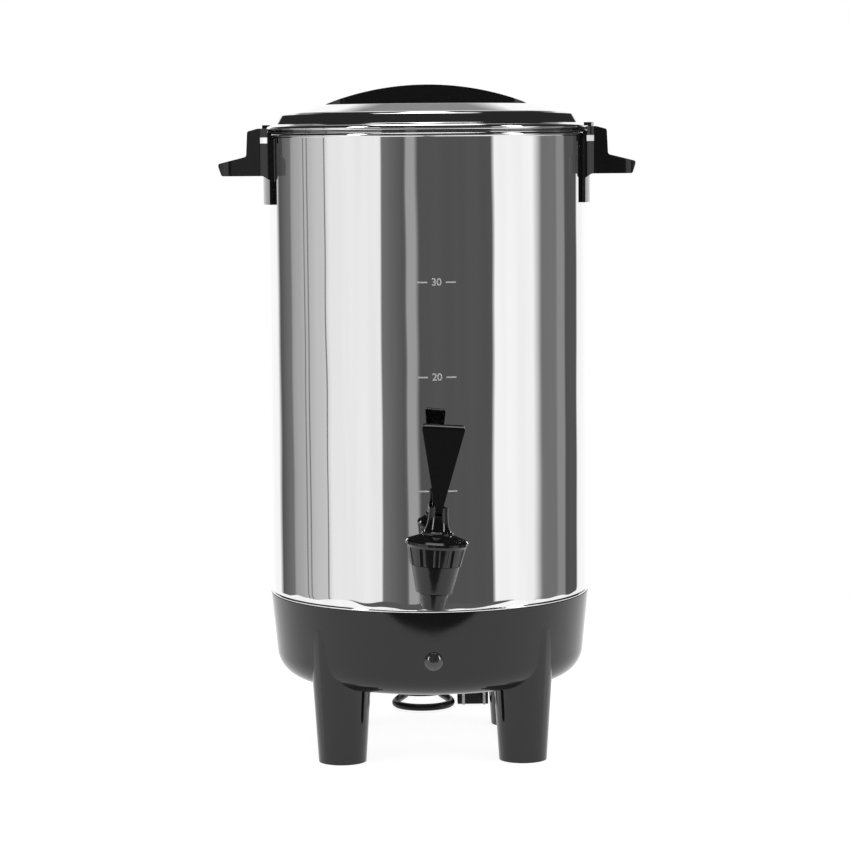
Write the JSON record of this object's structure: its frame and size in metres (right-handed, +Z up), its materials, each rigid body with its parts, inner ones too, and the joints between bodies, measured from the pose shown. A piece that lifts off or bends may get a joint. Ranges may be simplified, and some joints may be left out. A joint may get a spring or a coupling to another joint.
{
  "type": "coffee urn",
  "caption": "Free-standing percolator coffee urn: polished steel drum with twist-lock lid, side handles, lever tap, footed base and mains lead.",
  "frame": {"origin": "the drum's axis where it meets the surface that the legs stand on", "axes": "+Z up along the drum's axis, -Y towards the user on the tap's side, +X to the right as the tap is seen"},
  "size_m": [0.236, 0.3576, 0.3798],
  "materials": {
    "polished_steel": "mirror-polished stainless steel with faint up-and-down waves from rolling",
    "black_plastic": "smooth glossy black heat-proof plastic",
    "tap_plastic": "glossy black plastic, slightly softer shine than the base",
    "lead_pvc": "smooth black PVC with a soft shine",
    "silicone": "satin translucent silicone",
    "seal_rubber": "matt black silicone",
    "aluminium": "satin spun aluminium",
    "zinc_steel": "zinc-plated steel",
    "stainless_fastener": "stainless steel screws and pins",
    "heater_sheath": "oxidised tubular heater sheath",
    "phenolic": "moulded dark phenolic",
    "fuse_ceramic": "plain ceramic with tinned leads",
    "lens_plastic": "smoked translucent lens",
    "lamp_nylon": "white nylon lamp socket",
    "neon_glass": "clear glass bulb",
    "wire_jacket": "braided glass-fibre sleeve",
    "nickel_brass": "nickel-plated brass"
  },
  "bodies": {
    "urn": {"tank": "polished_steel", "handle_right": "black_plastic", "handle_left": "black_plastic", "base_shell": "black_plastic", "handle_screws": "stainless_fastener", "handle_washers": "silicone", "tap_body": "tap_plastic", "tap_gasket": "silicone", "tap_inner_gasket": "silicone", "tap_nut": "stainless_fastener", "tap_bonnet": "tap_plastic", "tap_spring": "stainless_fastener", "base_plate": "zinc_steel", "base_screws": "zinc_steel", "centre_stud": "zinc_steel", "stud_nuts": "zinc_steel", "pump_heater": "aluminium", "heater_clamp": "zinc_steel", "warming_element": "heater_sheath", "element_clips": "zinc_steel", "thermostat": "phenolic", "thermostat_bracket": "zinc_steel", "thermal_fuse": "fuse_ceramic", "ready_lens": "lens_plastic", "lamp_holder": "lamp_nylon", "neon_lamp": "neon_glass", "wiring": "wire_jacket", "strain_relief": "lead_pvc", "cord_lead": "lead_pvc", "cord_hank": "lead_pvc", "cord_tail": "lead_pvc", "cord_tie": "lead_pvc", "plug_body": "lead_pvc", "plug_blades": "nickel_brass"},
    "lid_ring": {"lid_seal": "seal_rubber"},
    "lid": {"lid_shell": "polished_steel", "lid_handle": "black_plastic", "lid_screws": "stainless_fastener"},
    "pump": {"pump_foot": "aluminium", "pump_tube": "aluminium"},
    "pump_valve": {"pump_washer": "aluminium"},
    "basket_unit": {"basket": "aluminium"},
    "cover_unit": {"basket_cover": "aluminium"},
    "tap_valve": {"tap_stem": "stainless_fastener", "tap_seat_cup": "silicone", "tap_pin": "stainless_fastener"},
    "tap_handle": {"tap_lever": "tap_plastic"}
  },
  "joints": [
    {"name": "lid_lift", "type": "slide", "parent": "urn", "child": "lid_ring", "axis": [0, 0, 1], "range_m": [0, 0.33]},
    {"name": "lid_twist", "type": "hinge", "parent": "lid_ring", "child": "lid", "pos_m": [0, 0, 0.354], "axis": [0, 0, 1], "range_deg": [-14, 0]},
    {"name": "pump_lift", "type": "slide", "parent": "urn", "child": "pump", "axis": [0, 0, 1], "range_m": [0, 0.25]},
    {"name": "pump_valve_float", "type": "slide", "parent": "pump", "child": "pump_valve", "axis": [0, 0, 1], "range_m": [0, 0.003]},
    {"name": "basket_lift", "type": "slide", "parent": "pump", "child": "basket_unit", "axis": [0, 0, 1], "range_m": [0, 0.058]},
    {"name": "cover_lift", "type": "slide", "parent": "basket_unit", "child": "cover_unit", "axis": [0, 0, 1], "range_m": [0, 0.022]},
    {"name": "tap_valve_lift", "type": "slide", "parent": "urn", "child": "tap_valve", "axis": [0.061, 0, 0.9981], "range_m": [0, 0.0036], "deforming": ["tap_spring"]},
    {"name": "tap_lever_pull", "type": "hinge", "parent": "tap_valve", "child": "tap_handle", "pos_m": [0.00208, -0.131, 0.14794], "axis": [0.9981, 0, -0.061], "range_deg": [0, 35], "stiffness_Nm_per_rad": 0.3, "springref_deg": -20.05}
  ],
  "couplings": [
    {"joint": "pump_lift", "follows": "lid_lift", "ratio": 0.75},
    {"joint": "basket_lift", "follows": "lid_lift", "ratio": 0.17},
    {"joint": "cover_lift", "follows": "lid_lift", "ratio": 0.06},
    {"joint": "tap_valve_lift", "follows": "tap_lever_pull", "m_per_rad": 0.00557}
  ]
}
